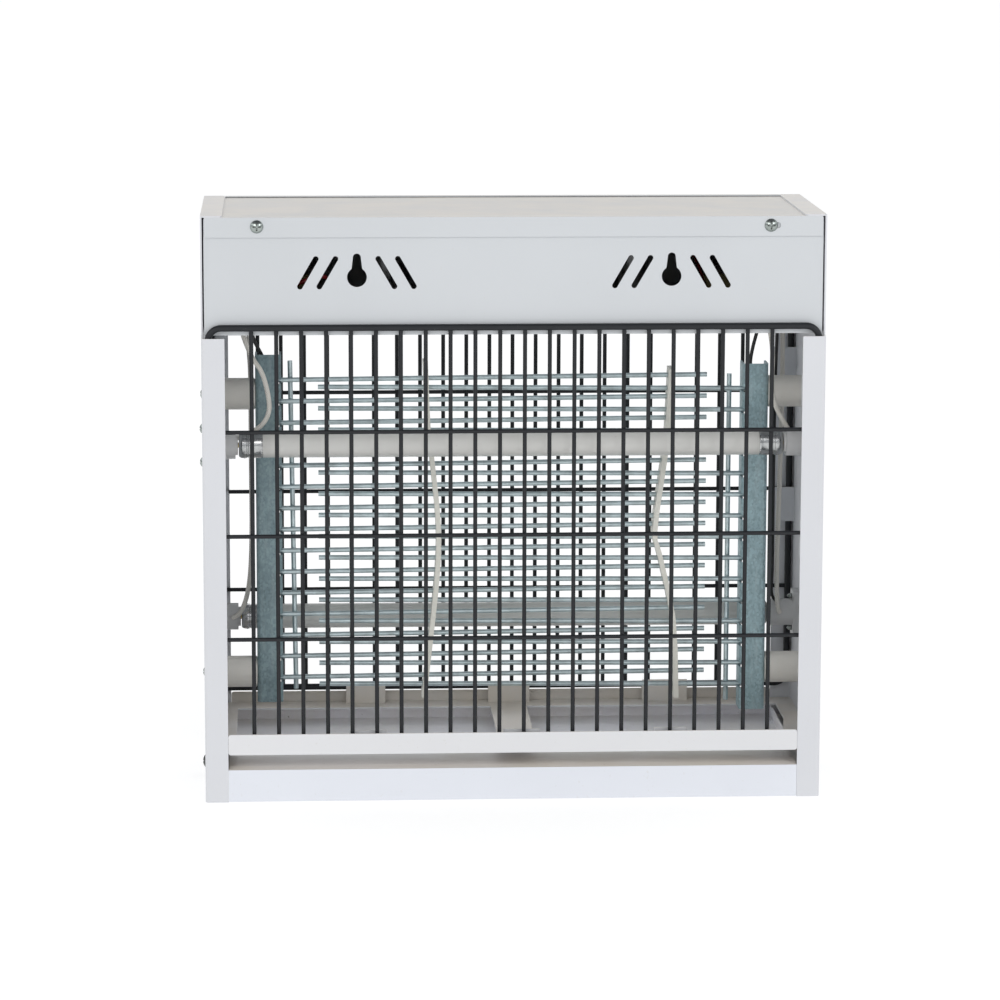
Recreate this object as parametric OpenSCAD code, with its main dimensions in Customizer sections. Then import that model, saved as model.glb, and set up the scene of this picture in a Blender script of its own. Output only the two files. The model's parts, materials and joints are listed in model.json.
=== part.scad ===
// Electric insect killer with two ultraviolet tubes, a high-voltage rod grid, wire guards and a catch tray.
// X runs to the right, Y from the keyhole side to the other side, Z up.
// The origin is on the surface it stands on, under the middle of the cabinet.

/* [Cabinet] */
// Width over the side panels
body_w = 375; // [372:1:380]
// Depth over the post flanges
body_d = 140; // [140:1:146]
// Height of the side panels
body_h = 357; // [356:1:362]
// Thickness of the painted sheet
sheet_t = 1; // [0.8:0.1:1]
// Width of the post flanges
flange_w = 14; // [13:1:14]
// Height of the post flanges
post_h = 284; // [280:1:284]
// Height of the ballast box's floor above the ground
box_z = 285.3; // [285:0.1:286]

/* [Base and tray] */
// Height of the base plinth
plinth_h = 20.1; // [18:0.1:20.1]
// Lower edge of the deck's front and rear bars
bar_z = 29.4; // [29.4:0.1:30]
// Height of the deck's front and rear bars
bar_h = 12.6; // [12:0.1:13]

/* [Guards] */
// Diameter of the guard's frame wire
frame_wire_d = 4; // [3.5:0.1:4]
// Diameter of the guard's mesh wires
mesh_wire_d = 2.5; // [2:0.1:2.5]
// Number of upright wires in a guard
upright_count = 22; // [16:1:22]
// Height of a guard between the middles of its frame wires
guard_h = 253.2; // [250:0.1:254]

/* [Tubes] */
// Length of a tube over its end caps
tube_len = 331.8; // [330:0.1:332]
// Diameter of a tube's glass
tube_d = 15.6; // [15:0.1:15.6]

/* [Grid] */
// Number of rods in each comb
rod_count = 15; // [10:1:15]
// Distance between neighbouring rods of one comb
rod_pitch = 13.35; // [13:0.05:13.35]
// Diameter of a grid rod
rod_d = 3; // [2.5:0.1:3]

/* [Wall mounting] */
// Distance between the two keyholes
keyhole_spacing = 188.6; // [180:0.1:190]
// Diameter of a keyhole's round part
keyhole_d = 11.8; // [10:0.1:12]

/* [Hidden] */
$fn = 48;
half_w = body_w / 2;
half_d = body_d / 2;
web_in = half_w - sheet_t;
post_in = half_w - flange_w;
sheet_bend = 2;
box_face = half_d - 6.2;
box_half_w = web_in - 0.1;
housing_half_w = web_in - 0.9;
cover_half_w = web_in - 1.4;
rear_strip_y = 60;
rear_strip_t = 0.6;
cover_face = box_face + sheet_t;
cover_z = body_h - 2 * sheet_t;
lip_h = 11;
box_floor = box_z + sheet_t;
top_flange_w = 13;
cover_screw_x = 153.8;
cover_screw_z = 350.5;
keyhole_z = 320;

deck_z = 31.3;
rear_bar_h = 8.6;
bar_half_w = post_in - 0.1;
opening_x = [-169, 175];
opening_y = [-46, 50];
strap_x = [-8, 14.9];
front_seat_z = 34.7;
rear_seat_z = 39.4;
front_tabs = [[-99.6, -77.1], [-6, 16], [86, 106.4]];
rear_tabs = [[-100, -75], [-9, 17.5], [90, 119]];
tray_half_w = post_in - 0.3;
tray_front = half_d - 0.4;
tray_hem = 5;
tray_back = 66;
tray_t = 0.8;
tray_z = plinth_h + 0.1;
tray_rim_z = 28.6;

guard_y = 66.3;
guard_half_w = 183.5;
guard_corner = 8;
front_guard_z = 36.8;
rear_guard_z = 41.5;
bar_levels = [190.3, 126.9, 63.6];
side_tabs = [[148, 170], [241, 260]];

front_tube = [-35, 214.5];
rear_tube = [35, 94.3];
cap_len = 14.6;
cap_r = tube_d / 2 + 0.3;
pin_offset = 2.38;
holder_face = tube_len / 2 + 2.1;
holder_plate_t = 4;
holder_r = 8.4;
holder_depth = 9;
rotor_r = 6.1;
holder_screw_dz = 10.3;

grid_y = 0;
channel_w = 16;
channel_t = 1.2;
channel_front = -8;
left_channel_x = -148;
right_channel_x = 152.5;
left_channel_z = [48.4, 266];
right_channel_z = [41, 259];
notch_depth = 2.5;
left_rod_z = 249.4;
right_rod_z = 242.8;
rod_rise = 0.47;
left_rod_end = 123;
right_rod_end = -117.5;
insulator_r = 9.75;
insulator_z = [66.4, 241];
base_screw_z = 9.5;

// ---- Shared shapes ----

// Flat rectangle from the origin with round corners
module rounded_rect(size, r) {
    translate([r, 0]) square([size[0] - 2 * r, size[1]]);
    translate([0, r]) square([size[0], size[1] - 2 * r]);
    for (x = [r, size[0] - r], y = [r, size[1] - r]) translate([x, y]) circle(r);
}

// Folded U profile: the web's outer face is on x = 0 and the flanges point towards -X
module channel_profile(reach, span, wall, bend) {
    intersection() {
        translate([-reach, -span / 2]) square([reach, span]);
        difference() {
            translate([-2 * reach, -span / 2]) rounded_rect([2 * reach, span], bend);
            translate([-2 * reach - 1, -span / 2 + wall])
                rounded_rect([2 * reach + 1 - wall, span - 2 * wall], bend - wall);
        }
    }
}

// Pan-head screw with a cross recess: the head's underside is on z = 0 and the shank points down
module pan_screw(head_d, head_h, shank_d, shank_len) {
    dome_r = (head_d * head_d / 4 + head_h * head_h) / (2 * head_h);
    difference() {
        union() {
            intersection() {
                translate([0, 0, head_h - dome_r]) sphere(dome_r);
                cylinder(d = head_d, h = head_h);
            }
            translate([0, 0, 1.5 - shank_len]) cylinder(d = shank_d, h = shank_len - 1.5 + head_h / 3);
            translate([0, 0, -shank_len]) cylinder(d1 = shank_d / 3, d2 = shank_d, h = 1.5);
        }
        for (turn = [0, 90]) rotate(turn) translate([-head_d * 0.3, -head_d * 0.06, head_h * 0.45])
            cube([head_d * 0.6, head_d * 0.12, head_h]);
    }
}

// Turns a screw so that its head faces +X, -X, +Y or -Y
module facing_x(side) { rotate([0, 90 * side, 0]) children(); }
module facing_y(side) { rotate([-90 * side, 0, 0]) children(); }

// A cylinder along X that starts at x
module rod_x(x, len, d) { translate([x, 0, 0]) rotate([0, 90, 0]) cylinder(d = d, h = len); }

// A bore along Y, centred on y
module bore_y(y, len, d) { translate([0, y - len / 2, 0]) rotate([-90, 0, 0]) cylinder(d = d, h = len); }

// ---- Swept wires ----

function unit(v) = v / norm(v);
function ring(p, along, across, r, sides) =
    let (u = unit(cross(along, across)), v = cross(unit(along), u))
    [for (k = [0 : sides - 1]) p + r * (cos(360 * k / sides) * u + sin(360 * k / sides) * v)];
function spline(a, b, c, d, s) =
    0.5 * (2 * b + (c - a) * s + (2 * a - 5 * b + 4 * c - d) * s * s + (3 * b - a - 3 * c + d) * s * s * s);
function smooth(route, steps) =
    let (last = len(route) - 1)
    [for (i = [0 : last - 1], s = [0 : steps - 1])
        spline(route[max(i - 1, 0)], route[i], route[i + 1], route[min(i + 2, last)], s / steps),
        route[last]];

module wire(route, d, across = [0, 1, 0], steps = 4, sides = 8) {
    path = smooth(route, steps);
    last = len(path) - 1;
    rings = [for (i = [0 : last])
        ring(path[i], path[min(i + 1, last)] - path[max(i - 1, 0)], across, d / 2, sides)];
    points = [for (r = rings) for (p = r) p];
    walls = [for (i = [0 : last - 1], k = [0 : sides - 1])
        let (a = i * sides + k, b = i * sides + (k + 1) % sides) [a, a + sides, b + sides, b]];
    start_cap = [for (k = [0 : sides - 1]) k];
    end_cap = [for (k = [sides - 1 : -1 : 0]) last * sides + k];
    polyhedron(points, concat(walls, [start_cap, end_cap]), convexity = 6);
}

// ---- Cabinet ----

module side_panel() {
    difference() {
        union() {
            translate([half_w, 0, 0]) linear_extrude(post_h)
                channel_profile(flange_w, body_d, sheet_t, sheet_bend);
            translate([web_in, -cover_face, post_h - 1]) cube([sheet_t, 2 * cover_face, body_h - post_h + 1]);
            translate([half_w - top_flange_w, -cover_face, body_h - sheet_t]) linear_extrude(sheet_t)
                rounded_rect([top_flange_w, 2 * cover_face], 2);
            // Tabs folded from the web that hold the guards against the post flanges
            for (side = [-1, 1], tab = side_tabs)
                translate([post_in + 0.5, side * 62 - sheet_t / 2, tab[0]])
                    cube([web_in - post_in, sheet_t, tab[1] - tab[0]]);
        }
        for (tube = [front_tube, rear_tube], dz = [-holder_screw_dz, holder_screw_dz])
            translate([0, tube[0], tube[1] + dz]) rod_x(web_in - 5, 10, 3.4);
        for (z = insulator_z) translate([0, 0, z]) rod_x(web_in - 5, 10, 4.2);
        translate([0, 0, base_screw_z]) rod_x(web_in - 5, 10, 5.2);
    }
}

module left_side_panel() { color("whitesmoke") mirror([1, 0, 0]) side_panel(); }
module right_side_panel() { color("whitesmoke") side_panel(); }

module keyhole_cut() {
    neck_top = 11.8;
    bore_y(0, 8, keyhole_d);
    translate([0, 0, neck_top]) bore_y(0, 8, 4.8);
    translate([0, 4, 0]) rotate([90, 0, 0]) linear_extrude(8)
        polygon([[-3.3, 4], [3.3, 4], [2.35, neck_top], [-2.35, neck_top]]);
}

// Slanted vent: its two round ends are given by their offsets from the keyhole
module vent_cut(low, high) {
    slot_d = 3.4;
    run = high - low;
    for (end = [low, high]) translate([end[0], 0, end[1]]) bore_y(0, 8, slot_d);
    straight_w = slot_d - 0.06;
    translate([low[0], 0, low[1]]) rotate([0, atan2(run[0], run[1]), 0])
        translate([-straight_w / 2, -4, 0]) cube([straight_w, 8, norm(run)]);
}

module top_housing() {
    strip_half_w = half_w - top_flange_w - 0.3;
    color("gainsboro") difference() {
        union() {
            translate([-housing_half_w, -box_face, box_z])
                cube([2 * housing_half_w, 2 * box_face, cover_z - box_z]);
            translate([-strip_half_w, box_face - sheet_t, cover_z - sheet_t])
                cube([2 * strip_half_w, sheet_t, body_h - cover_z + sheet_t]);
            translate([-strip_half_w, rear_strip_y, body_h - rear_strip_t])
                cube([2 * strip_half_w, box_face - rear_strip_y, rear_strip_t]);
        }
        translate([-housing_half_w + sheet_t, -box_face + sheet_t, box_floor])
            cube([2 * (housing_half_w - sheet_t), 2 * (box_face - sheet_t), cover_z - box_floor + 0.5]);
        for (side = [-1, 1]) translate([side * keyhole_spacing / 2, -box_face, keyhole_z]) {
            keyhole_cut();
            for (lean = [-1, 1]) {
                vent_cut([lean * 22.4, -5.5], [lean * 12.8, 11]);
                vent_cut([lean * 34, -5.5], [lean * 24.5, 11]);
            }
        }
        for (x = [-cover_screw_x, cover_screw_x])
            translate([x, 0, cover_screw_z]) bore_y(-box_face, 8, 3.7);
        for (hole = wire_holes) translate([hole[0], hole[1], box_z - 1]) cylinder(d = 8, h = 5);
        for (at = component_screw_places) translate([at[0], at[1], box_z - 1]) cylinder(d = 3.4, h = 5);
    }
}

// The cover slides under the housing's rear strip and is screwed in front, on the right in a slotted hole
module top_cover() {
    slot_run = 4;
    cover_back = box_face - sheet_t - 0.3;
    color("linen") difference() {
        union() {
            translate([-cover_half_w, -cover_face, cover_z])
                cube([2 * cover_half_w, cover_face + cover_back, sheet_t]);
            translate([-cover_half_w, -cover_face, cover_z - lip_h])
                cube([2 * cover_half_w, sheet_t, lip_h + sheet_t]);
        }
        for (x = [-cover_screw_x, cover_screw_x, cover_screw_x + slot_run])
            translate([x, 0, cover_screw_z]) bore_y(-cover_face, 8, 3.7);
        translate([cover_screw_x, -cover_face - 1, cover_screw_z - 1.8]) cube([slot_run, 3, 3.6]);
    }
}

module cover_screws() {
    color("silver") for (x = [-cover_screw_x, cover_screw_x])
        translate([x, -cover_face, cover_screw_z]) facing_y(-1) pan_screw(8, 2.2, 3.5, 8);
}

// ---- Base, deck and tray ----

module base_plinth() {
    skirt_z = 0.5;
    color("whitesmoke") difference() {
        union() {
            translate([-box_half_w, -half_d + sheet_t + 0.1, skirt_z])
                cube([2 * box_half_w, body_d - 2 * sheet_t - 0.2, plinth_h - skirt_z]);
            translate([-bar_half_w, -half_d, skirt_z]) cube([2 * bar_half_w, body_d, plinth_h - skirt_z]);
        }
        translate([-box_half_w + sheet_t, -half_d + sheet_t, -1])
            cube([2 * (box_half_w - sheet_t), body_d - 2 * sheet_t, plinth_h - sheet_t + 1]);
        for (side = [-1, 1]) translate([0, 0, base_screw_z]) rod_x(side * web_in - 5, 10, 5.2);
    }
}

module base_screws() {
    color("dimgray") for (side = [-1, 1])
        translate([side * half_w, 0, base_screw_z]) facing_x(side) pan_screw(10.6, 3, 5, 9);
}

// Folded bridge that carries the guard's bottom wire, with a tab behind the wire
module guard_seat(tab, seat, top, side) {
    seat_w = tab[1] - tab[0];
    inner_y = 62.9;
    outer_y = half_d - sheet_t;
    translate([tab[0], 0, 0]) mirror([0, side < 0 ? 1 : 0, 0]) {
        translate([0, inner_y - sheet_t, deck_z - 0.5]) cube([seat_w, sheet_t, top - deck_z + 0.5]);
        translate([0, inner_y - sheet_t, seat - sheet_t])
            cube([seat_w, outer_y - inner_y + sheet_t, sheet_t]);
    }
}

module deck_opening(from_x, to_x, corner_cut) {
    linear_extrude(10) polygon([[from_x, opening_y[0]], [to_x - corner_cut, opening_y[0]], [to_x, 10],
        [to_x, opening_y[1]], [from_x, opening_y[1]]]);
}

module deck_frame() {
    color("whitesmoke") {
        difference() {
            for (plate = [[box_half_w, half_d - sheet_t - 0.1], [bar_half_w, half_d - sheet_t / 2]])
                translate([-plate[0], -plate[1], deck_z - sheet_t])
                    cube([2 * plate[0], 2 * plate[1], sheet_t]);
            translate([0, 0, deck_z - 5]) {
                deck_opening(opening_x[0], strap_x[0], 0);
                deck_opening(strap_x[1], opening_x[1], 7);
            }
        }
        for (bar = [[-1, bar_h], [1, rear_bar_h]])
            translate([-bar_half_w, bar[0] * (half_d - sheet_t / 2) + sheet_t / 2, bar_z])
                rotate([90, 0, 0]) linear_extrude(sheet_t) rounded_rect([2 * bar_half_w, bar[1]], 1.5);
        for (tab = front_tabs) guard_seat(tab, front_seat_z, 42.5, -1);
        for (tab = rear_tabs) guard_seat(tab, rear_seat_z, 45, 1);
    }
}

// Flat in front, with a hem pressed thin, side walls that rise behind the front bar and a rear wall
module catch_tray() {
    wall_start = -28;
    wall_full = -14;
    color("white") {
        translate([-tray_half_w, 0, 0]) rotate([90, 0, 90]) linear_extrude(2 * tray_half_w)
            polygon([[-tray_front, tray_z], [tray_back, tray_z], [tray_back, tray_z + tray_t],
                [tray_hem - tray_front, tray_z + tray_t], [-tray_front, tray_z + 0.1]]);
        translate([-tray_half_w, tray_back - tray_t, tray_z])
            cube([2 * tray_half_w, tray_t, tray_rim_z - tray_z]);
        for (x = [-tray_half_w, tray_half_w - tray_t]) translate([x, 0, 0])
            rotate([90, 0, 90]) linear_extrude(tray_t) polygon([[wall_start, tray_z], [tray_back, tray_z],
                [tray_back, tray_rim_z], [wall_full, tray_rim_z]]);
    }
}

// ---- Guards ----

module guard(first_x, pitch) {
    straight_x = guard_half_w - guard_corner;
    for (z = [0, guard_h]) translate([0, 0, z]) rod_x(-straight_x, 2 * straight_x, frame_wire_d);
    for (x = [-guard_half_w, guard_half_w])
        translate([x, 0, guard_corner]) cylinder(d = frame_wire_d, h = guard_h - 2 * guard_corner);
    for (sx = [-1, 1], sz = [-1, 1])
        translate([sx * straight_x, 0, sz > 0 ? guard_h - guard_corner : guard_corner])
            rotate([0, sx > 0 ? (sz > 0 ? 0 : 90) : (sz > 0 ? -90 : 180), 0])
                rotate([90, 0, 0]) rotate_extrude(angle = 90)
                    translate([guard_corner, 0]) circle(d = frame_wire_d);
    for (z = bar_levels) translate([0, -0.9, z]) rod_x(-guard_half_w, 2 * guard_half_w, mesh_wire_d);
    for (i = [0 : upright_count - 1])
        translate([first_x + i * pitch, 0.6, -0.8]) cylinder(d = mesh_wire_d, h = guard_h + 1.6);
}

module front_guard() {
    color("#26282c") translate([0, -guard_y, front_guard_z]) guard(-157.6, 14.9);
}

module rear_guard() {
    color("#26282c") translate([0, guard_y, rear_guard_z]) mirror([0, 1, 0]) guard(-154.9, 14.65);
}

// ---- Tubes and lamp holders ----

module tube_glass() {
    glass_half = tube_len / 2 - 6;
    wall = 0.9;
    difference() {
        rod_x(-glass_half, 2 * glass_half, tube_d);
        rod_x(-glass_half - 1, 2 * glass_half + 2, tube_d - 2 * wall);
    }
}

module tube_caps() {
    chamfer = 1;
    for (side = [0, 1]) mirror([side, 0, 0]) difference() {
        translate([tube_len / 2, 0, 0]) rotate([0, -90, 0]) {
            cylinder(r1 = cap_r - chamfer, r2 = cap_r, h = chamfer);
            translate([0, 0, chamfer]) cylinder(r = cap_r, h = cap_len - chamfer);
        }
        rod_x(tube_len / 2 - cap_len - 1, cap_len - 0.5, tube_d + 0.1);
        for (dy = [-pin_offset, pin_offset]) translate([0, dy, 0]) rod_x(tube_len / 2 - 3, 5, 2.4);
    }
}

module tube_pins() {
    for (side = [0, 1], dy = [-pin_offset, pin_offset]) mirror([side, 0, 0])
        translate([0, dy, 0]) rod_x(tube_len / 2 - 2.5, 9.5, 2.35);
}

module tube_collars() {
    for (side = [0, 1]) mirror([side, 0, 0]) difference() {
        rod_x(tube_len / 2 + 0.6, 10, 2 * rotor_r);
        for (dy = [-pin_offset, pin_offset]) translate([0, dy, 0]) rod_x(tube_len / 2, 8, 2.4);
    }
}

// Holder on the right-hand web; the pins drop in by a slot on top, and a quarter turn locks them
module lamp_holder() {
    plate_w = 16;
    plate_h = 29;
    difference() {
        union() {
            translate([web_in - holder_plate_t, -plate_w / 2, -plate_h / 2]) rotate([90, 0, 90])
                linear_extrude(holder_plate_t) rounded_rect([plate_w, plate_h], 4);
            rod_x(holder_face, web_in - holder_face - 1, 2 * holder_r);
        }
        rod_x(holder_face - 1, holder_depth + 1, 2 * rotor_r + 0.2);
        translate([holder_face - 1, -1.5, 0]) cube([holder_depth + 1, 3, 20]);
        for (dz = [-holder_screw_dz, holder_screw_dz])
            translate([0, 0, dz]) rod_x(web_in - 10, 20, 3.4);
    }
}

module at_tube(tube) { translate([0, tube[0], tube[1]]) children(); }

module front_tube_glass() { color("#e8ecf4") at_tube(front_tube) tube_glass(); }
module front_tube_caps() { color("silver") at_tube(front_tube) tube_caps(); }
module front_tube_pins() { color("goldenrod") at_tube(front_tube) tube_pins(); }
module front_tube_collars() { color("gainsboro") at_tube(front_tube) tube_collars(); }
module rear_tube_glass() { color("#e8ecf4") at_tube(rear_tube) tube_glass(); }
module rear_tube_caps() { color("silver") at_tube(rear_tube) tube_caps(); }
module rear_tube_pins() { color("goldenrod") at_tube(rear_tube) tube_pins(); }
module rear_tube_collars() { color("gainsboro") at_tube(rear_tube) tube_collars(); }

module front_lamp_holders() {
    color("gainsboro") at_tube(front_tube) for (side = [0, 1]) mirror([side, 0, 0]) lamp_holder();
}

module rear_lamp_holders() {
    color("gainsboro") at_tube(rear_tube) for (side = [0, 1]) mirror([side, 0, 0]) lamp_holder();
}

module holder_screws() {
    color("silver")
        for (tube = [front_tube, rear_tube], side = [-1, 1], dz = [-holder_screw_dz, holder_screw_dz])
            translate([side * half_w, tube[0], tube[1] + dz]) facing_x(side) pan_screw(7, 2.2, 3.2, 8);
}

// ---- High-voltage grid ----

// Channel that faces the keyhole side; its rods leave towards rod_side and seat in notches in the bend
module grid_channel(middle, span, first_rod_z, rod_side) {
    difference() {
        translate([middle, channel_front, span[0]]) linear_extrude(span[1] - span[0])
            rotate(-90) channel_profile(channel_w, channel_w, channel_t, 2.5);
        for (i = [0 : rod_count - 1]) translate([middle, grid_y, first_rod_z - i * rod_pitch])
            mirror([rod_side > 0 ? 0 : 1, 0, 0]) {
                translate([channel_w / 2 - notch_depth, channel_front - 1, -1.6])
                    cube([notch_depth + 1, 1 - channel_front, 3.2]);
                rod_x(channel_w / 2 - notch_depth, notch_depth + 1, 3.2);
            }
        for (z = insulator_z) translate([middle - rod_side * channel_w / 2, 0, z]) rod_x(-4, 8, 4.2);
    }
}

module left_grid_channel() {
    color("lightslategray") grid_channel(left_channel_x, left_channel_z, left_rod_z, 1);
}

module right_grid_channel() {
    color("lightslategray") grid_channel(right_channel_x, right_channel_z, right_rod_z, -1);
}

// All rods of one comb; each rises a little from its channel to its free end
module rod_row(side, d, extra = 0) {
    root_x = side > 0 ? left_channel_x + channel_w / 2 - notch_depth + 0.1
        : right_channel_x - channel_w / 2 + notch_depth - 0.1;
    reach = side > 0 ? left_rod_end - root_x : root_x - right_rod_end;
    for (i = [0 : rod_count - 1])
        translate([root_x, grid_y, (side > 0 ? left_rod_z : right_rod_z) - i * rod_pitch])
            mirror([side > 0 ? 0 : 1, 0, 0]) rotate([0, -rod_rise, 0]) rod_x(0, reach + extra, d);
}

// Upright welded behind the rods, from its top to its bottom
module comb_upright(top, bottom) {
    run = top - bottom;
    translate([bottom[0], grid_y + rod_d - 0.3, bottom[1]])
        rotate([0, atan2(run[0], run[1]), 0]) cylinder(d = rod_d, h = norm(run));
}

module left_comb() {
    color("lightsteelblue") {
        rod_row(1, rod_d);
        comb_upright([-134.6, 261], [-132, 54.7]);
    }
}

module right_comb() {
    color("lightsteelblue") {
        rod_row(-1, rod_d);
        comb_upright([137.2, 251.6], [137.2, 45]);
    }
}

// Bowed strip with a punched hole for every rod; the points give its middle from top to bottom
module spacer_strip(middle) {
    strip_t = 3;
    strip_y = [-8, 7];
    bow = smooth(middle, 3);
    outline = concat([for (p = bow) p - [strip_t / 2, 0]],
        [for (i = [len(bow) - 1 : -1 : 0]) bow[i] + [strip_t / 2, 0]]);
    difference() {
        translate([0, strip_y[1], 0]) rotate([90, 0, 0]) linear_extrude(strip_y[1] - strip_y[0])
            polygon(outline);
        for (side = [-1, 1]) rod_row(side, rod_d + 0.4, 5);
    }
}

module left_spacer_strip() {
    color("beige") spacer_strip([[-51.4, 261.4], [-49.8, 220], [-47.4, 200], [-43.5, 160], [-44, 130],
        [-48, 90], [-52.5, 50.2]]);
}

module right_spacer_strip() {
    color("beige") spacer_strip([[100.3, 256.2], [98.6, 218], [96.5, 198], [91, 155], [94, 140],
        [103, 98], [105.1, 48.6]]);
}

// Outer face of a channel, where its insulators end
left_insulator_end = left_channel_x - channel_w / 2;
right_insulator_end = right_channel_x + channel_w / 2;

module insulator(from_x, to_x) {
    edge = 0.8;
    difference() {
        translate([from_x, 0, 0]) rotate([0, 90, 0]) {
            cylinder(r1 = insulator_r - edge, r2 = insulator_r, h = edge);
            translate([0, 0, edge]) cylinder(r = insulator_r, h = to_x - from_x - 2 * edge);
            translate([0, 0, to_x - from_x - edge])
                cylinder(r1 = insulator_r, r2 = insulator_r - edge, h = edge);
        }
        rod_x(from_x - 1, 12, 4.2);
        rod_x(to_x - 11, 12, 4.2);
    }
}

module grid_insulators() {
    color("lightgray") for (z = insulator_z) translate([0, 0, z]) {
        insulator(-web_in, left_insulator_end);
        insulator(right_insulator_end, web_in);
    }
}

module insulator_screws() {
    color("silver") for (z = insulator_z) translate([0, 0, z]) {
        for (side = [-1, 1]) translate([side * half_w, 0, 0]) facing_x(side) pan_screw(8, 2.4, 4, 9);
        translate([left_insulator_end + channel_t, 0, 0]) facing_x(1) pan_screw(8, 2.4, 4, 9);
        translate([right_insulator_end - channel_t, 0, 0]) facing_x(-1) pan_screw(8, 2.4, 4, 9);
    }
}

// ---- Ballast box contents ----

component_y = 10;
choke_x = 135;
choke_size = [48, 24];
transformer_size = [60, 28];
starter_x = 75;
foot_reach = 8;
component_screw_places = [for (c = [[-choke_x, choke_size], [0, transformer_size], [choke_x, choke_size]],
    side = [-1, 1]) [c[0] + side * (c[1][0] / 2 + foot_reach / 2), component_y]];
wire_holes = [[-164, -28], [-160, 28], [-158, -7], [158, -26], [154, -6], [172, 26]];

// Stack of E and I sheets: the middle leg stands upright between two windows, and a foot plate is under it
module laminated_core(length, stack) {
    leg = length / 6;
    foot_t = 1;
    translate([0, 0, box_floor]) {
        difference() {
            translate([-length / 2 - foot_reach, -stack / 2, 0])
                cube([length + 2 * foot_reach, stack, foot_t]);
            for (side = [-1, 1]) translate([side * (length / 2 + foot_reach / 2), 0, -1])
                cylinder(d = 3.4, h = 4);
        }
        translate([0, stack / 2, foot_t]) rotate([90, 0, 0]) linear_extrude(stack) difference() {
            translate([-length / 2, 0]) square([length, 4 * leg]);
            for (x = [-2 * leg, leg]) translate([x, leg / 2]) square([leg, 3 * leg]);
        }
    }
}

module wound_coil(length, stack) {
    leg = length / 6;
    gap = 0.3;
    span = [4 * leg - 2 * gap, stack + 2 * leg - 2 * gap];
    translate([0, 0, box_floor + 1 + leg / 2 + gap]) linear_extrude(3 * leg - 2 * gap) difference() {
        translate([-span[0] / 2, -span[1] / 2]) rounded_rect(span, 3);
        translate([-leg - gap, -stack / 2 - gap]) square([2 * (leg + gap), stack + 2 * gap]);
    }
}

module transformer_core() {
    color("dimgray") translate([0, component_y, 0]) laminated_core(transformer_size[0], transformer_size[1]);
}

module transformer_coil() {
    color("khaki") translate([0, component_y, 0]) wound_coil(transformer_size[0], transformer_size[1]);
}

module choke_cores() {
    color("dimgray") for (x = [-choke_x, choke_x])
        translate([x, component_y, 0]) laminated_core(choke_size[0], choke_size[1]);
}

module choke_coils() {
    color("khaki") for (x = [-choke_x, choke_x])
        translate([x, component_y, 0]) wound_coil(choke_size[0], choke_size[1]);
}

module component_screws() {
    color("silver") for (at = component_screw_places)
        translate([at[0], at[1], box_floor + 1]) pan_screw(6, 2, 3.2, 5);
}

module starter_sockets() {
    color("white") for (x = [-starter_x, starter_x]) translate([x, component_y, box_floor]) difference() {
        cylinder(r = 14, h = 9);
        translate([0, 0, 3]) cylinder(r = 11, h = 10);
    }
}

// Glow starter: a can on a disc with two studs
module starter(x) {
    translate([x, component_y, box_floor + 3.4]) {
        cylinder(r = 10.7, h = 36);
        translate([0, 0, 36]) cylinder(r1 = 10.7, r2 = 9.2, h = 1.5);
    }
}

module left_starter() { color("aliceblue") starter(-starter_x); }
module right_starter() { color("aliceblue") starter(starter_x); }

terminal_size = [40, 16, 14];
terminal_x = 100;
terminal_y = 44;
terminal_count = 4;

module terminal_block() {
    pitch = terminal_size[0] / terminal_count;
    corner = [terminal_x - terminal_size[0] / 2, terminal_y - terminal_size[1] / 2, box_floor];
    color("ivory") translate(corner) difference() {
        cube(terminal_size);
        for (i = [0 : terminal_count - 1]) {
            translate([pitch * (i + 0.5), -1, 6]) rotate([-90, 0, 0])
                cylinder(d = 4, h = terminal_size[1] + 2);
            translate([pitch * (i + 0.5), terminal_size[1] / 2, 6]) cylinder(d = 5, h = 10);
        }
    }
}

module terminal_screws() {
    pitch = terminal_size[0] / terminal_count;
    color("goldenrod") for (i = [0 : terminal_count - 1])
        translate([terminal_x - terminal_size[0] / 2 + pitch * (i + 0.5), terminal_y, box_floor + 8.5])
            cylinder(d = 4.8, h = 4);
}

// ---- Wires ----

module grid_leads() {
    color("#202020") {
        wire([[-164, -12, 300], [-160, -10, 292], [-158, -7, 282], [-156, -7, 274], [-152, -4, 266],
            [-150, -5, 260]], 2.2);
        wire([[160, -12, 300], [156, -9, 292], [154, -6, 282], [151, -5, 270], [149.5, -4, 260],
            [150, -5, 252]], 2.2);
    }
}

module lamp_lead_sleeves() {
    color("beige") {
        wire([[-160, -20, 296], [-164, -28, 286], [-158, -26, 268], [-152, -24.5, 258], [-148.5, -24, 246],
            [-147.5, -24, 234], [-152, -24, 225], [-162, -24, 219], [-172, -26, 216]], 3);
        wire([[-164, 28, 296], [-160, 28, 286], [-160, 18, 268], [-159, 14, 250], [-159, 13.5, 200],
            [-159, 13.5, 150], [-161, 17, 118], [-166, 23, 100], [-172, 26, 95]], 3);
        wire([[156, -20, 296], [158, -26, 286], [160.5, -26, 268], [160.5, -25, 246], [164, -24, 233],
            [169, -24, 224], [173, -26, 217]], 3);
        wire([[174, 22, 296], [173.2, 27, 286], [173, 24, 250], [172, 21, 190], [171, 22, 130],
            [172, 25, 102], [174, 26, 95]], 3);
    }
}

module lamp_leads() {
    color("#202020") wire([[166, 20, 300], [169.6, 25, 286], [168.5, 22, 250], [167.5, 17.5, 190],
        [168, 20, 130], [168.5, 27, 108], [173, 31, 101.5]], 2);
}

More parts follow.
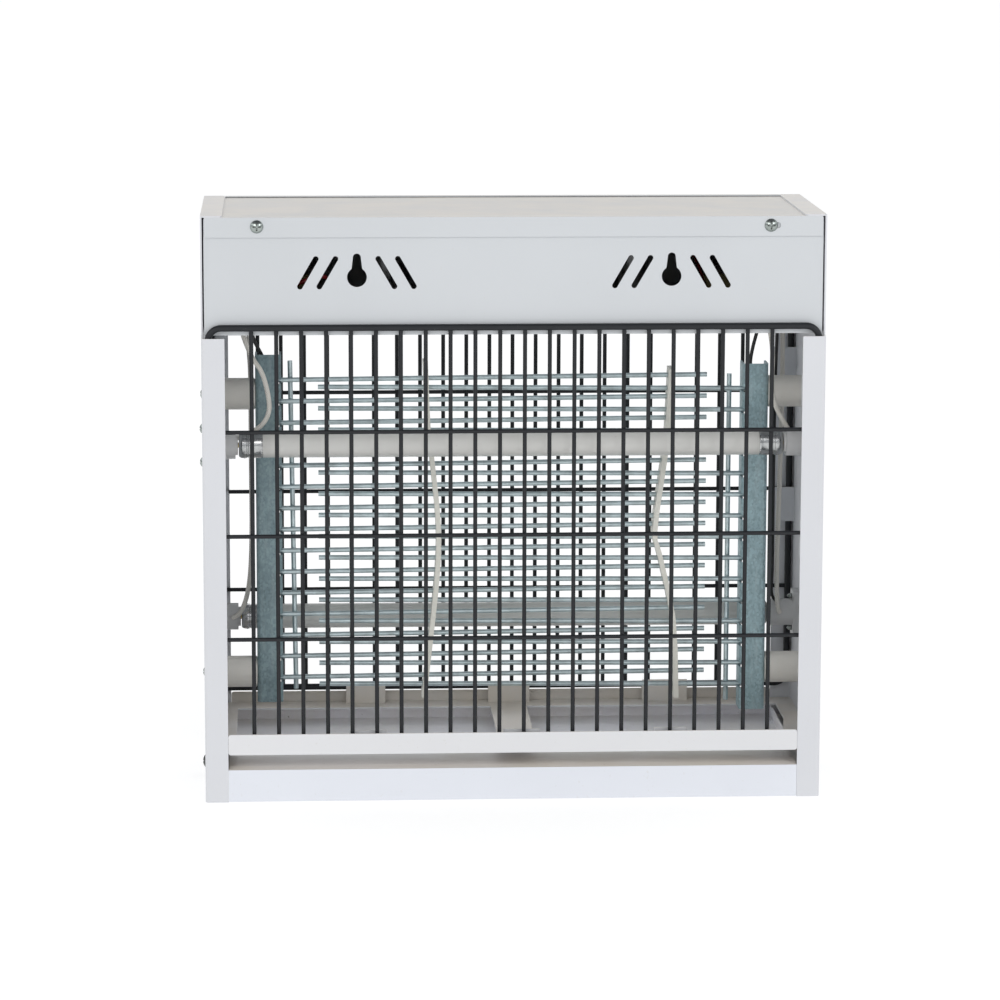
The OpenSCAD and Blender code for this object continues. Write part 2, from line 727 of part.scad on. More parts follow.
module box_leads() {
    color("firebrick") {
        wire([[-124, -8, 300], [-136, -34, 306], [-134, -51, 312], [-126, -56, 317], [-114, -57, 320],
            [-108, -50, 312], [-98, -34, 301], [-86, -14, 298], [-78, -3.5, 292]], 2.4, [0, 0.3, 1]);
        wire([[122, -8, 302], [106, -20, 338], [70, -30, 346], [20, -30, 342], [-16, -26, 328],
            [-17, -12, 310]], 2, [0, 0.3, 1]);
    }
}

left_side_panel();
right_side_panel();
top_housing();
top_cover();
cover_screws();
base_plinth();
base_screws();
deck_frame();
catch_tray();
front_guard();
rear_guard();
front_tube_glass();
front_tube_caps();
front_tube_pins();
front_tube_collars();
rear_tube_glass();
rear_tube_caps();
rear_tube_pins();
rear_tube_collars();
front_lamp_holders();
rear_lamp_holders();
holder_screws();
left_grid_channel();
right_grid_channel();
left_comb();
right_comb();
left_spacer_strip();
right_spacer_strip();
grid_insulators();
insulator_screws();
transformer_core();
transformer_coil();
choke_cores();
choke_coils();
component_screws();
starter_sockets();
left_starter();
right_starter();
terminal_block();
terminal_screws();
grid_leads();
lamp_lead_sleeves();
lamp_leads();
box_leads();
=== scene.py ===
"""Electric bug zapper: camera, light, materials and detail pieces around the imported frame. Lengths are in metres."""
import json
from math import cos, radians, sin, tau

import bmesh
import bpy
from mathutils import Matrix, Vector


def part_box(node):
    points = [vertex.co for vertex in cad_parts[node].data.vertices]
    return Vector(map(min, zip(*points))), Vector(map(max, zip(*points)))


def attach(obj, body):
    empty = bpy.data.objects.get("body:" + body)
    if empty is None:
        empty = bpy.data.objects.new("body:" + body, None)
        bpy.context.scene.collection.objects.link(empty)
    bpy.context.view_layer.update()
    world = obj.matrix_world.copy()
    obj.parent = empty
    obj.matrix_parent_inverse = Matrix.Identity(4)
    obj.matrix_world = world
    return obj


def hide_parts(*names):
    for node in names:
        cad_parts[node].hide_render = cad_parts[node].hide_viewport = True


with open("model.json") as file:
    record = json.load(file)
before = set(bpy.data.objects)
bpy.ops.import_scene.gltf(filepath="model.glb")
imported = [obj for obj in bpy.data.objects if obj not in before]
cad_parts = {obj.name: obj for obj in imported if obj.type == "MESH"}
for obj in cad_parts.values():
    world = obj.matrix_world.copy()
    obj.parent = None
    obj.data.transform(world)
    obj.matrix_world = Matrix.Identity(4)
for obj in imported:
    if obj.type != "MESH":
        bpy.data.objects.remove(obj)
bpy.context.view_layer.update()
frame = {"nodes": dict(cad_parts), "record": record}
scene = bpy.context.scene
MM = 0.001


# ---- Camera, light and floor ----

def add_camera():
    """A long lens a little left of the middle and above the cabinet, looking slightly down and to the right."""
    pitch_down, turn_right, roll = radians(9.76), radians(3.086), radians(-0.13)
    data = bpy.data.cameras.new("camera")
    data.lens = 142.4
    data.sensor_width = 36
    data.clip_end = 200
    camera = bpy.data.objects.new("camera", data)
    camera.location = (-0.1352, -2.4149, 0.5895)
    camera.rotation_mode = "XYZ"
    camera.rotation_euler = (radians(90) - pitch_down, 0, -turn_right)
    camera.rotation_euler.rotate_axis("Z", -roll)
    scene.collection.objects.link(camera)
    scene.camera = camera


def add_area_light(name, location, target, size, watts, colour):
    """A soft box that faces its target."""
    data = bpy.data.lights.new(name, "AREA")
    data.shape = "RECTANGLE"
    data.size, data.size_y = size
    data.energy = watts
    data.color = colour
    light = bpy.data.objects.new(name, data)
    light.location = location
    light.rotation_euler = (Vector(target) - Vector(location)).to_track_quat("-Z", "Y").to_euler()
    scene.collection.objects.link(light)


def add_world():
    """White all round and a little darker overhead; reflections see a ring of soft boxes in a grey studio."""
    world = bpy.data.worlds.new("studio")
    world.use_nodes = True
    tree = world.node_tree
    coords = tree.nodes.new("ShaderNodeTexCoord")
    separate = tree.nodes.new("ShaderNodeSeparateXYZ")
    tree.links.new(coords.outputs["Generated"], separate.inputs["Vector"])

    def sky(node, strength, stops):
        ramp = tree.nodes.new("ShaderNodeValToRGB")
        elements = ramp.color_ramp.elements
        while len(elements) < len(stops):
            elements.new(0.5)
        for element, (height, colour) in zip(elements, stops):
            element.position = height
            element.color = (*colour, 1)
        tree.links.new(separate.outputs["Z"], ramp.inputs["Fac"])
        tree.links.new(ramp.outputs["Color"], node.inputs["Color"])
        node.inputs["Strength"].default_value = strength

    seen = tree.nodes["Background"]
    sky(seen, 1.0, [(0.1, (0.985, 0.99, 1.0)), (0.95, (0.68, 0.69, 0.7))])
    reflected = tree.nodes.new("ShaderNodeBackground")
    sky(reflected, 1.5, [(0.0, (0.42, 0.43, 0.44)), (0.2, (0.2, 0.2, 0.21)), (0.3, (0.95, 0.96, 1.0)),
                         (0.48, (1.0, 1.0, 1.0)), (0.58, (0.2, 0.2, 0.21)), (1.0, (0.1, 0.1, 0.11))])
    path = tree.nodes.new("ShaderNodeLightPath")
    mixed = tree.nodes.new("ShaderNodeMixShader")
    tree.links.new(path.outputs["Is Glossy Ray"], mixed.inputs[0])
    tree.links.new(seen.outputs[0], mixed.inputs[1])
    tree.links.new(reflected.outputs[0], mixed.inputs[2])
    tree.links.new(mixed.outputs[0], tree.nodes["World Output"].inputs["Surface"])
    scene.world = world
    scene.view_settings.view_transform = "Standard"


def add_floor(material):
    """A wide white floor."""
    mesh = bpy.data.meshes.new("floor")
    reach = 40
    corners = [(-reach, -reach, 0), (reach, -reach, 0), (reach, reach, 0), (-reach, reach, 0)]
    mesh.from_pydata(corners, [], [(0, 1, 2, 3)])
    floor = bpy.data.objects.new("floor", mesh)
    floor.data.materials.append(material)
    scene.collection.objects.link(floor)


# ---- Material building blocks ----

class Shader:
    """A node material on a Principled shader, with short helpers for procedural textures."""

    def __init__(self, name, colour, roughness, metallic=0.0):
        self.material = bpy.data.materials.new(name)
        self.material.use_nodes = True
        self.tree = self.material.node_tree
        self.base = self.tree.nodes["Principled BSDF"]
        self.base.inputs["Base Color"].default_value = (*colour, 1)
        self.base.inputs["Roughness"].default_value = roughness
        self.base.inputs["Metallic"].default_value = metallic
        self.coords = self.node("ShaderNodeTexCoord").outputs["Object"]

    def node(self, kind, **settings):
        made = self.tree.nodes.new(kind)
        for key, value in settings.items():
            setattr(made, key, value)
        return made

    def link(self, source, target):
        self.tree.links.new(source, target)

    def set(self, **inputs):
        for key, value in inputs.items():
            self.base.inputs[key.replace("_", " ")].default_value = value

    def scaled(self, scale):
        """Object coordinates in metres, stretched by a factor for each axis."""
        mapping = self.node("ShaderNodeMapping")
        mapping.inputs["Scale"].default_value = scale
        self.link(self.coords, mapping.inputs["Vector"])
        return mapping.outputs["Vector"]

    def noise(self, scale, detail=4.0, roughness=0.55, stretch=(1, 1, 1)):
        texture = self.node("ShaderNodeTexNoise")
        texture.inputs["Scale"].default_value = scale
        texture.inputs["Detail"].default_value = detail
        texture.inputs["Roughness"].default_value = roughness
        self.link(self.scaled(stretch), texture.inputs["Vector"])
        return texture.outputs["Fac"]

    def cells(self, scale, stretch=(1, 1, 1)):
        texture = self.node("ShaderNodeTexVoronoi")
        texture.inputs["Scale"].default_value = scale
        self.link(self.scaled(stretch), texture.inputs["Vector"])
        return texture.outputs["Color"]

    def ramp(self, value, *stops):
        """Maps a value through (place, colour) stops; a number is a grey."""
        made = self.node("ShaderNodeValToRGB")
        elements = made.color_ramp.elements
        while len(elements) < len(stops):
            elements.new(0.5)
        for element, (place, colour) in zip(elements, stops):
            element.position = place
            grey = isinstance(colour, (int, float))
            element.color = (colour, colour, colour, 1) if grey else (*colour, 1)
        self.link(value, made.inputs["Fac"])
        return made.outputs["Color"]

    def mix(self, factor, first, second, blend="MIX"):
        """Mixes two colours; each may be an output or a plain colour."""
        made = self.node("ShaderNodeMix", data_type="RGBA", blend_type=blend)
        for value, target in ((factor, made.inputs[0]), (first, made.inputs[6]), (second, made.inputs[7])):
            if isinstance(value, bpy.types.NodeSocket):
                self.link(value, target)
            elif isinstance(value, (int, float)):
                target.default_value = value
            else:
                target.default_value = (*value, 1)
        return made.outputs[2]

    def math(self, operation, first, second):
        made = self.node("ShaderNodeMath", operation=operation, use_clamp=True)
        for value, target in ((first, made.inputs[0]), (second, made.inputs[1])):
            if isinstance(value, bpy.types.NodeSocket):
                self.link(value, target)
            else:
                target.default_value = value
        return made.outputs["Value"]

    def place_ramp(self, axis, low, high, *stops):
        """Runs through the stops as an object coordinate goes from low to high, in millimetres."""
        separate = self.node("ShaderNodeSeparateXYZ")
        self.link(self.coords, separate.inputs["Vector"])
        span = self.node("ShaderNodeMapRange")
        span.inputs["From Min"].default_value = low * MM
        span.inputs["From Max"].default_value = high * MM
        self.link(separate.outputs[axis], span.inputs["Value"])
        return self.ramp(span.outputs["Result"], *stops)

    def facing_up(self):
        """1 on faces that look upwards, 0 on upright ones."""
        geometry = self.node("ShaderNodeNewGeometry")
        separate = self.node("ShaderNodeSeparateXYZ")
        self.link(geometry.outputs["Normal"], separate.inputs["Vector"])
        return self.ramp(separate.outputs["Z"], (0.5, 0.0), (0.9, 1.0))

    def edge_mask(self, radius):
        """Bright where the surface turns within the radius of an edge."""
        bevel = self.node("ShaderNodeBevel", samples=4)
        bevel.inputs["Radius"].default_value = radius
        geometry = self.node("ShaderNodeNewGeometry")
        dot = self.node("ShaderNodeVectorMath", operation="DOT_PRODUCT")
        self.link(bevel.outputs["Normal"], dot.inputs[0])
        self.link(geometry.outputs["Normal"], dot.inputs[1])
        return self.ramp(dot.outputs["Value"], (0.55, 1.0), (0.97, 0.0))

    def corners(self, reach):
        """Bright in recesses and where another surface is closer than the reach."""
        occlusion = self.node("ShaderNodeAmbientOcclusion", samples=8)
        occlusion.inputs["Distance"].default_value = reach
        return self.ramp(occlusion.outputs["AO"], (0.45, 1.0), (0.85, 0.0))

    def colour(self, output):
        self.link(output, self.base.inputs["Base Color"])

    def roughness(self, value, low, high):
        spread = self.node("ShaderNodeMapRange")
        spread.inputs["To Min"].default_value = low
        spread.inputs["To Max"].default_value = high
        self.link(value, spread.inputs["Value"])
        self.link(spread.outputs["Result"], self.base.inputs["Roughness"])

    def bump(self, *layers):
        """Layers are (height, strength, distance), laid one on the other."""
        normal = None
        for height, strength, distance in layers:
            made = self.node("ShaderNodeBump")
            made.inputs["Strength"].default_value = strength
            made.inputs["Distance"].default_value = distance
            self.link(height, made.inputs["Height"])
            if normal is not None:
                self.link(normal, made.inputs["Normal"])
            normal = made.outputs["Normal"]
        self.link(normal, self.base.inputs["Normal"])


# ---- Materials ----

def white_paint(name, tone, dust=(0.8, 0.76, 0.7), dust_and_light_amount=0.9, painted_shade_rear=False):
    """Powder coat on sheet: fine orange peel, faint waves in the sheet, worn edges, and dust with a painted warm tint
    of light on what faces up; the rear ledge can take the same colour as painted shade.
    """
    shader = Shader(name, tone, 0.4)
    clouds = shader.noise(9, detail=5)
    body = shader.mix(shader.ramp(clouds, (0.35, 0.0), (0.7, 1.0)), tone, tuple(c * 0.965 for c in tone))
    smears = shader.ramp(shader.noise(28, detail=6, roughness=0.62), (0.3, 0.55), (0.6, 1.0))
    # Dust, with a painted warm tint of light and shade, on faces that look up; the rear ledge can take it too, as
    # painted shade
    where = shader.facing_up()
    if painted_shade_rear:
        where = shader.math("MAXIMUM", where, shader.place_ramp("Y", 52, 58, (0.0, 0.0), (1.0, 1.0)))
    dust_and_painted_light = shader.math("MULTIPLY", where, shader.math("MULTIPLY", smears, dust_and_light_amount))
    body = shader.mix(dust_and_painted_light, body, dust)
    grains = shader.math("MULTIPLY", shader.ramp(shader.noise(420, detail=2), (0.68, 0.0), (0.76, 1.0)), 0.2)
    body = shader.mix(grains, body, tuple(c * 0.75 for c in dust))
    worn_spots = shader.ramp(shader.noise(70), (0.42, 0.0), (0.64, 0.3))
    wear = shader.math("MULTIPLY", shader.edge_mask(0.4 * MM), worn_spots)
    shader.colour(shader.mix(wear, body, (0.42, 0.41, 0.39)))
    shader.roughness(clouds, 0.34, 0.5)
    shader.bump((shader.noise(16, detail=1), 0.25, 0.6 * MM), (shader.noise(1600, detail=2), 0.35, 0.02 * MM))
    return shader.material


def tray_paint(name):
    """The tray's floor: lilac white with pale smudges and a patchy film of dust; painted shade makes it darker and
    browner towards its front, under the deck's bar.
    """
    shader = Shader(name, (0.88, 0.88, 0.93), 0.45)
    film = shader.ramp(shader.noise(11, detail=6, roughness=0.6), (0.42, 0.0), (0.64, 0.6))
    body = shader.mix(film, (0.9, 0.9, 0.95), (0.84, 0.82, 0.79))
    smudges = shader.ramp(shader.noise(38, detail=3, stretch=(0.6, 1.4, 1)), (0.66, 0.0), (0.72, 0.6))
    body = shader.mix(smudges, body, (0.93, 0.93, 0.95))
    # Painted shade: darker and browner towards the front, under the deck's bar
    front = shader.place_ramp("Y", -70, -18, (0.0, (0.76, 0.71, 0.63)), (0.3, (0.84, 0.79, 0.71)),
                              (0.62, (0.95, 0.91, 0.84)), (1.0, (1.0, 1.0, 1.0)))
    body = shader.mix(1.0, body, front, blend="MULTIPLY")
    specks = shader.ramp(shader.noise(500, detail=2), (0.72, 0.0), (0.78, 0.6))
    shader.colour(shader.mix(specks, body, (0.3, 0.27, 0.22)))
    shader.roughness(film, 0.35, 0.6)
    shader.bump((shader.noise(14, detail=1), 0.3, 0.8 * MM), (shader.noise(1500, detail=2), 0.3, 0.02 * MM))
    return shader.material


def black_coat(name):
    """Thick dipped coat on wire: near black, soft gloss, with tiny pits and a little dust."""
    shader = Shader(name, (0.011, 0.012, 0.014), 0.42)
    patches = shader.noise(45, detail=5)
    dust = shader.ramp(shader.noise(420, detail=2), (0.7, 0.0), (0.78, 0.3))
    body = shader.mix(patches, (0.008, 0.009, 0.011), (0.017, 0.019, 0.023))
    shader.colour(shader.mix(dust, body, (0.12, 0.12, 0.115)))
    shader.roughness(patches, 0.34, 0.52)
    shader.set(Specular_IOR_Level=0.35)
    shader.bump((shader.noise(160, detail=2), 0.3, 0.15 * MM), (shader.noise(900, detail=3), 0.3, 0.05 * MM))
    return shader.material


def galvanised(name):
    """Zinc-coated sheet: fine blue-grey spangle, dull stains and faint streaks; painted shade makes it darker towards
    the left, so the left piece is the darker one.
    """
    shader = Shader(name, (0.27, 0.36, 0.39), 0.5, metallic=0.3)
    spangle = shader.node("ShaderNodeRGBToBW")
    shader.link(shader.cells(900, stretch=(1, 1, 0.7)), spangle.inputs["Color"])
    stains = shader.noise(60, detail=6, roughness=0.65)
    streaks = shader.noise(70, detail=4, stretch=(5, 5, 0.4))
    body = shader.mix(shader.ramp(stains, (0.35, 0.0), (0.68, 1.0)), (0.375, 0.515, 0.55), (0.28, 0.395, 0.43))
    body = shader.mix(0.22, body, spangle.outputs["Val"], blend="OVERLAY")
    body = shader.mix(shader.ramp(streaks, (0.52, 0.0), (0.72, 0.4)), body, (0.5, 0.6, 0.62))
    # Painted shade: darker towards the left, where less light reaches
    tone = shader.place_ramp("X", -160, 160, (0.0, 0.64), (1.0, 1.0))
    shader.colour(shader.mix(1.0, body, tone, blend="MULTIPLY"))
    shader.roughness(stains, 0.4, 0.62)
    shader.bump((shader.noise(900, detail=4), 0.3, 0.04 * MM))
    return shader.material


def drawn_zinc(name, colour, along=(0.03, 1, 1), metallic=0.85, low=0.22, high=0.45, shaded_recess=False):
    """Plated rod or screw: fine drawing lines, duller patches and, where asked, near-black painted shade in the recess
    and at the rim.
    """
    shader = Shader(name, colour, 0.35, metallic=metallic)
    lines = shader.noise(2500, detail=2, stretch=along)
    patches = shader.noise(90, detail=5)
    dull = tuple(c * 0.68 for c in colour)
    body = shader.mix(shader.ramp(patches, (0.4, 0.0), (0.7, 1.0)), colour, dull)
    if shaded_recess:
        # Painted shade: near black in the recess and wherever another surface is close
        body = shader.mix(shader.corners(0.9 * MM), body, tuple(c * 0.05 for c in colour))
    shader.colour(body)
    shader.roughness(patches, low, high)
    shader.bump((lines, 0.2, 0.03 * MM))
    return shader.material


def moulded(name, colour, low=0.4, high=0.6):
    """Moulded plastic: fine grain, faint clouds and dust."""
    shader = Shader(name, colour, 0.5)
    clouds = shader.noise(80, detail=5)
    body = shader.mix(clouds, colour, tuple(c * 0.84 for c in colour))
    dust = shader.ramp(shader.noise(600, detail=2), (0.68, 0.0), (0.76, 0.35))
    shader.colour(shader.mix(dust, body, tuple(c * 0.6 for c in colour)))
    shader.roughness(clouds, low, high)
    shader.bump((shader.noise(1500, detail=3), 0.3, 0.04 * MM))
    return shader.material


def frosted_tube(name, half_length):
    """Glass with a phosphor coat inside: even warm white, greyed towards the electrodes, glossy outside."""
    shader = Shader(name, (0.62, 0.615, 0.59), 0.5)
    separate = shader.node("ShaderNodeSeparateXYZ")
    shader.link(shader.coords, separate.inputs["Vector"])
    from_end = shader.math("DIVIDE", shader.math("ABSOLUTE", separate.outputs["X"], 0), half_length)
    ends = shader.ramp(from_end, (0.87, 0.0), (0.96, 0.35))
    patches = shader.noise(30, detail=3)
    body = shader.mix(patches, (0.6, 0.597, 0.57), (0.66, 0.655, 0.63))
    dust = shader.ramp(shader.noise(380, detail=2), (0.7, 0.0), (0.78, 0.25))
    body = shader.mix(dust, body, (0.4, 0.38, 0.34))
    shader.colour(shader.mix(ends, body, (0.36, 0.35, 0.33)))
    shader.roughness(patches, 0.4, 0.5)
    shader.set(Coat_Weight=1.0, Coat_Roughness=0.06)
    shader.bump((shader.noise(1100, detail=2), 0.1, 0.01 * MM))
    return shader.material


def sleeve(name, colour):
    """Woven glass-fibre sleeve: crossed fine threads."""
    shader = Shader(name, colour, 0.75)
    threads = [thread_wave(shader, turn) for turn in (40, -40)]
    weave = shader.math("MAXIMUM", threads[0], threads[1])
    shader.colour(shader.mix(weave, tuple(c * 0.72 for c in colour), colour))
    shader.bump((weave, 0.5, 0.15 * MM))
    return shader.material


def thread_wave(shader, turn):
    """Stripes of one set of threads, turned by an angle in degrees."""
    mapping = shader.node("ShaderNodeMapping")
    mapping.inputs["Rotation"].default_value = (radians(turn), radians(turn), 0)
    shader.link(shader.coords, mapping.inputs["Vector"])
    wave = shader.node("ShaderNodeTexWave")
    wave.inputs["Scale"].default_value = 420
    wave.inputs["Distortion"].default_value = 0.5
    shader.link(mapping.outputs["Vector"], wave.inputs["Vector"])
    return wave.outputs["Fac"]


def laminated(name):
    """Stack of varnished steel sheets seen on edge."""
    shader = Shader(name, (0.12, 0.12, 0.125), 0.5, metallic=0.4)
    sheets = shader.noise(1400, detail=1, stretch=(0.02, 1, 0.02))
    rust = shader.ramp(shader.noise(120, detail=5), (0.55, 0.0), (0.75, 0.5))
    body = shader.mix(sheets, (0.07, 0.07, 0.075), (0.2, 0.2, 0.205))
    shader.colour(shader.mix(rust, body, (0.2, 0.1, 0.05)))
    shader.bump((sheets, 0.4, 0.1 * MM))
    return shader.material


def floor_material():
    """White and partly its own light, so that the shadow on it stays faint."""
    shader = Shader("floor_white", (0.5, 0.5, 0.5), 0.9)
    shader.set(Specular_IOR_Level=0.0, Emission_Color=(1, 1, 1, 1), Emission_Strength=0.62)
    shader.colour(shader.mix(shader.noise(2), (0.495, 0.495, 0.495), (0.505, 0.505, 0.505)))
    return shader.material


def make_materials():
    """A material for each slot of the record, and the paints that SHADES names."""
    tube_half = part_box("front_tube_glass")[1][0]
    beige = (0.74, 0.7, 0.64)
    return {
        "white_paint": white_paint("white_paint", (0.648, 0.657, 0.685)),
        "black_wire_coat": black_coat("black_wire_coat"),
        "galvanised_sheet": galvanised("galvanised_sheet"),
        "zinc_rod": drawn_zinc("zinc_rod", (0.6, 0.7, 0.72)),
        "zinc_screw": drawn_zinc("zinc_screw", (0.4, 0.44, 0.42), along=(1, 1, 1), metallic=1.0, low=0.16, high=0.3,
                                 shaded_recess=True),
        "dark_screw": drawn_zinc("dark_screw", (0.11, 0.115, 0.11), along=(1, 1, 1), metallic=1.0),
        "cap_metal": drawn_zinc("cap_metal", (0.56, 0.57, 0.57), along=(1, 0.05, 0.05), metallic=1.0, low=0.14,
                                high=0.3),
        "brass_pin": drawn_zinc("brass_pin", (0.7, 0.55, 0.25), along=(0.05, 1, 1)),
        "tube_glass": frosted_tube("tube_glass", tube_half),
        "lamp_plastic": moulded("lamp_plastic", (0.62, 0.62, 0.62), 0.3, 0.45),
        "insulator_body": moulded("insulator_body", (0.8, 0.775, 0.72)),
        "cream_plastic": moulded("cream_plastic", (0.8, 0.79, 0.72)),
        "cream_sleeve": sleeve("cream_sleeve", (0.8, 0.77, 0.71)),
        "black_lead": moulded("black_lead", (0.012, 0.012, 0.013), 0.3, 0.5),
        "red_lead": moulded("red_lead", (0.22, 0.008, 0.01), 0.3, 0.5),
        "core_steel": laminated("core_steel"),
        "coil_tape": moulded("coil_tape", (0.5, 0.43, 0.2)),
        "starter_can": drawn_zinc("starter_can", (0.72, 0.73, 0.75), along=(1, 1, 0.05)),
        # The box, deck and plinth paints are one white: darker on the box as painted shade, lighter on the deck and
        # plinth as painted light
        "box_paint_painted_shade": white_paint("box_paint_painted_shade", (0.583, 0.604, 0.625), dust=beige),
        "deck_paint_light_and_shade": white_paint("deck_paint_light_and_shade", (0.7, 0.703, 0.717), dust=(0.7, 0.65, 0.585), dust_and_light_amount=1.0,
                                  painted_shade_rear=True),
        "plinth_paint_painted_light": white_paint("plinth_paint_painted_light", (0.722, 0.744, 0.797), dust=beige),
        "tray_paint": tray_paint("tray_paint"),
    }


# ---- CAD nodes ----

SHEETS = ("left_side_panel", "right_side_panel", "top_housing", "top_cover", "base_plinth", "deck_frame",
          "catch_tray")
# Copies of the white paint, darker high up and lighter low down as painted shade and light, and the tray's own paint;
# the side panels keep the one of their slot
SHADES = {"top_housing": "box_paint_painted_shade", "top_cover": "box_paint_painted_shade", "deck_frame": "deck_paint_light_and_shade",
          "base_plinth": "plinth_paint_painted_light", "catch_tray": "tray_paint"}


def material_of(node_name):
    """The paint that SHADES names for a node, or else the material of its slot."""
    return materials[SHADES.get(node_name, slot_of[node_name])]


def paint_nodes():
    """Every CAD node takes its material, also those that a piece replaces."""
    for name in slot_of:
        node = frame["nodes"][name]
        node.data.materials.clear()
        node.data.materials.append(material_of(name))


# ---- Pieces that stand for CAD nodes, or add to them ----

def finish_piece(mesh, name, node_name, replaces=True):
    """Links a mesh as a piece that rides with a node's body and takes its finish."""
    piece = bpy.data.objects.new(name, mesh)
    mesh.materials.clear()
    mesh.materials.append(material_of(node_name))
    scene.collection.objects.link(piece)
    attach(piece, body_of[node_name])
    if replaces:
        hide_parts(node_name)
    return piece


def welded_copy(node_name):
    """The node's mesh with its double points merged."""
    work = bmesh.new()
    work.from_mesh(frame["nodes"][node_name].data)
    bmesh.ops.remove_doubles(work, verts=work.verts, dist=0.002 * MM)
    return work


def soften_edges(node_name, width):
    """Stands for a sheet part: the same shape with small round edges."""
    coplanar, sharpest_kept = radians(0.6), radians(35)
    work = welded_copy(node_name)
    bmesh.ops.dissolve_limit(work, angle_limit=coplanar, verts=work.verts, edges=work.edges)
    mesh = bpy.data.meshes.new(node_name + "_soft")
    work.to_mesh(mesh)
    work.free()
    piece = finish_piece(mesh, node_name + "_soft", node_name)
    bevel = piece.modifiers.new("edges", "BEVEL")
    bevel.width = width
    bevel.segments = 2
    bevel.limit_method = "ANGLE"
    bevel.angle_limit = sharpest_kept
    bevel.use_clamp_overlap = True
    apply_modifiers(piece, smooth=False)


def apply_modifiers(piece, smooth=True):
    """Replaces the piece's mesh by its evaluated one, shaded flat, or smooth up to 30 degrees."""
    evaluated = piece.evaluated_get(bpy.context.evaluated_depsgraph_get())
    mesh = bpy.data.meshes.new_from_object(evaluated)
    piece.modifiers.clear()
    piece.data = mesh
    if smooth:
        mesh.shade_smooth()
        mesh.set_sharp_from_angle(angle=radians(30))
    else:
        mesh.shade_flat()


def round_wire(node_name):
    """Stands for a bundle of leads: the same routes, round instead of eight-sided."""
    # Subdivision shrinks the tube by about this much
    shrinkage = 0.08 * MM
    work = welded_copy(node_name)
    mesh = bpy.data.meshes.new(node_name + "_round")
    work.normal_update()
    for vertex in work.verts:
        vertex.co += vertex.normal * shrinkage
    work.to_mesh(mesh)
    work.free()
    piece = finish_piece(mesh, node_name + "_round", node_name)
    surface = piece.modifiers.new("round", "SUBSURF")
    surface.levels = surface.render_levels = 2
    apply_modifiers(piece)


def add_bead(work, centre, radii, segments=10, rings=6):
    """An ellipsoid of weld metal or coat in a crossing."""
    scale = Matrix.Diagonal((*radii, 1))
    bmesh.ops.create_uvsphere(work, u_segments=segments, v_segments=rings, radius=1,
                              matrix=Matrix.Translation(centre) @ scale)


def piece_from(work, name, node_name):
    """Turns finished work into a piece that is added to a node."""
    mesh = bpy.data.meshes.new(name)
    work.to_mesh(mesh)
    work.free()
    mesh.shade_smooth()
    return finish_piece(mesh, name, node_name, replaces=False)


def wire_centres(node_name, axis, across, reach):
    """Places along an axis where wires stand, from the node's points at one height; a wire is narrower than reach."""
    low, high = across
    places = sorted({round(v.co[axis], 5) for v in frame["nodes"][node_name].data.vertices
                     if low < v.co[2] < high})
    groups = [[places[0]]]
    for place in places[1:]:
        if place - groups[-1][-1] > reach:
            groups.append([])
        groups[-1].append(place)
    return [(group[0] + group[-1]) / 2 for group in groups]


def add_guard_fillets(node_name):
    """Coat that has pooled where the wires of a guard cross."""
    lowest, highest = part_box(node_name)
    outward = -1 if lowest[1] < 0 else 1
    frame_radius = 2 * MM
    bottom_wire, top_wire = lowest[2] + frame_radius, highest[2] - frame_radius
    cross_wires = [bottom_wire + rise * MM for rise in (63.6, 126.9, 190.3)]
    crossing_y = outward * (66.3 + 0.15) * MM
    frame_y = outward * (66.3 - 0.9) * MM
    # The frame's own corners lie beyond the last free upright
    last_upright = 165 * MM
    work = bmesh.new()
    for x in wire_centres(node_name, 0, (top_wire, highest[2]), 3 * MM):
        if abs(x) >= last_upright:
            continue
        for z in cross_wires:
            add_bead(work, (x, crossing_y, z), (1.7 * MM, 0.9 * MM, 1.7 * MM))
        for z in (bottom_wire, top_wire):
            add_bead(work, (x, frame_y, z), (1.8 * MM, 1.1 * MM, 1.6 * MM))
    piece_from(work, node_name + "_fillets", node_name)


def lathe(work, profile, centre, side, segments=64):
    """Turns a profile of (distance, radius) about a line along X through the centre."""
    rings = []
    for distance, radius in profile:
        rings.append([work.verts.new((side * distance, centre[1] + radius * cos(tau * k / segments),
                                      centre[2] + radius * sin(tau * k / segments))) for k in range(segments)])
    for first, second in zip(rings, rings[1:]):
        for k in range(segments):
            corners = (first[k], first[(k + 1) % segments], second[(k + 1) % segments], second[k])
            work.faces.new(corners if side > 0 else corners[::-1])
    work.faces.new(rings[0] if side < 0 else rings[0][::-1])
    work.faces.new(rings[-1][::-1] if side < 0 else rings[-1])


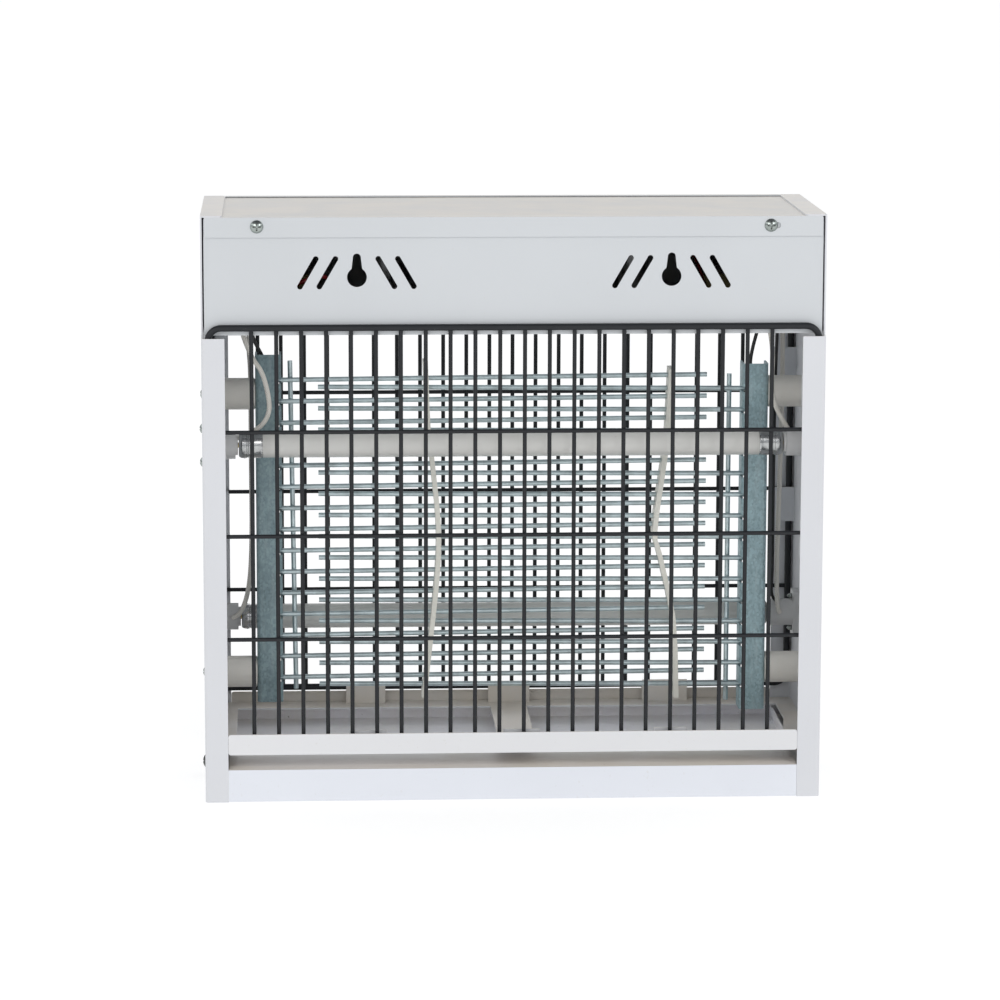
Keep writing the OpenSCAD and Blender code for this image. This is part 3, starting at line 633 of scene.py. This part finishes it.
def add_tube_caps(node_name):
    """Crimped end caps: a rolled rim on the glass, a shallow groove, a ring of crimps and a chamfered end."""
    lowest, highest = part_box(node_name)
    end = highest[0]
    radius = (highest[2] - lowest[2]) / 2
    centre = [(low + high) / 2 for low, high in zip(lowest, highest)]
    start = end - 14.6 * MM
    body_depth, groove_depth, band_depth = 0.22, 0.5, 0.12
    # Distance from the cap's inner end and depth below its widest radius, in millimetres
    outline = [(0, 0.3), (0.1, 0.08), (0.5, 0), (1.2, 0),
               (1.6, body_depth), (8.6, body_depth),
               (8.9, groove_depth), (9.6, groove_depth),
               (9.9, band_depth), (12.4, band_depth),
               (13.2, 0.35), (14.3, 0.9), (14.6, 1.4)]
    profile = [(start + along * MM, radius - depth * MM) for along, depth in outline]
    crimps = 16
    crimp_at = start + 11.1 * MM
    crimp_radius = radius - band_depth * MM
    work = bmesh.new()
    for side in (-1, 1):
        lathe(work, profile, centre, side)
        for k in range(crimps):
            turn = tau * k / crimps
            at = (side * crimp_at, centre[1] + crimp_radius * cos(turn), centre[2] + crimp_radius * sin(turn))
            add_bead(work, at, (0.55 * MM, 0.3 * MM, 0.3 * MM), segments=8, rings=5)
    mesh = bpy.data.meshes.new(node_name + "_crimped")
    work.to_mesh(mesh)
    work.free()
    mesh.shade_smooth()
    mesh.set_sharp_from_angle(angle=radians(40))
    finish_piece(mesh, node_name + "_crimped", node_name)


def add_comb_welds(node_name):
    """Small weld beads where the upright of a comb meets its rods."""
    left = node_name.startswith("left")
    rods, pitch = 15, 13.35
    rise = 0.0082
    upright_x = -134.6 if left else 137.2
    # The left upright leans a little towards the middle
    lean = 2.6 if left else 0
    root_x = -142.4 if left else 146.9
    root_z = 249.4 if left else 242.8
    work = bmesh.new()
    for i in range(rods):
        x = upright_x + lean * i / rods
        z = root_z - i * pitch + rise * abs(x - root_x)
        for side in (-1, 1):
            add_bead(work, ((x + side * 1.2) * MM, 1.5 * MM, z * MM), (0.9 * MM, 0.8 * MM, 0.8 * MM),
                     segments=8, rings=6)
    piece_from(work, node_name + "_welds", node_name)


add_camera()
add_world()
add_area_light("key", (-1.5, -2.2, 1.6), (0, 0, 0.18), (1.4, 1.0), 10, (1.0, 0.99, 0.97))
add_area_light("fill", (1.7, -1.7, 1.5), (0, 0, 0.18), (0.9, 0.9), 9, (0.97, 0.99, 1.0))
slot_of = {part["node"]: part["material_slot"] for part in frame["record"]["subparts"]}
body_of = {node: body for body, nodes in frame["record"]["behaviour"]["bodies"].items() for node in nodes}
materials = make_materials()
add_floor(floor_material())
paint_nodes()

for sheet in SHEETS:
    soften_edges(sheet, 0.22 * MM)
for strip in ("left_spacer_strip", "right_spacer_strip"):
    soften_edges(strip, 0.3 * MM)
for leads in ("grid_leads", "lamp_lead_sleeves", "lamp_leads", "box_leads"):
    round_wire(leads)
for guard in ("front_guard", "rear_guard"):
    add_guard_fillets(guard)
for caps in ("front_tube_caps", "rear_tube_caps"):
    add_tube_caps(caps)
for comb in ("left_comb", "right_comb"):
    add_comb_welds(comb)
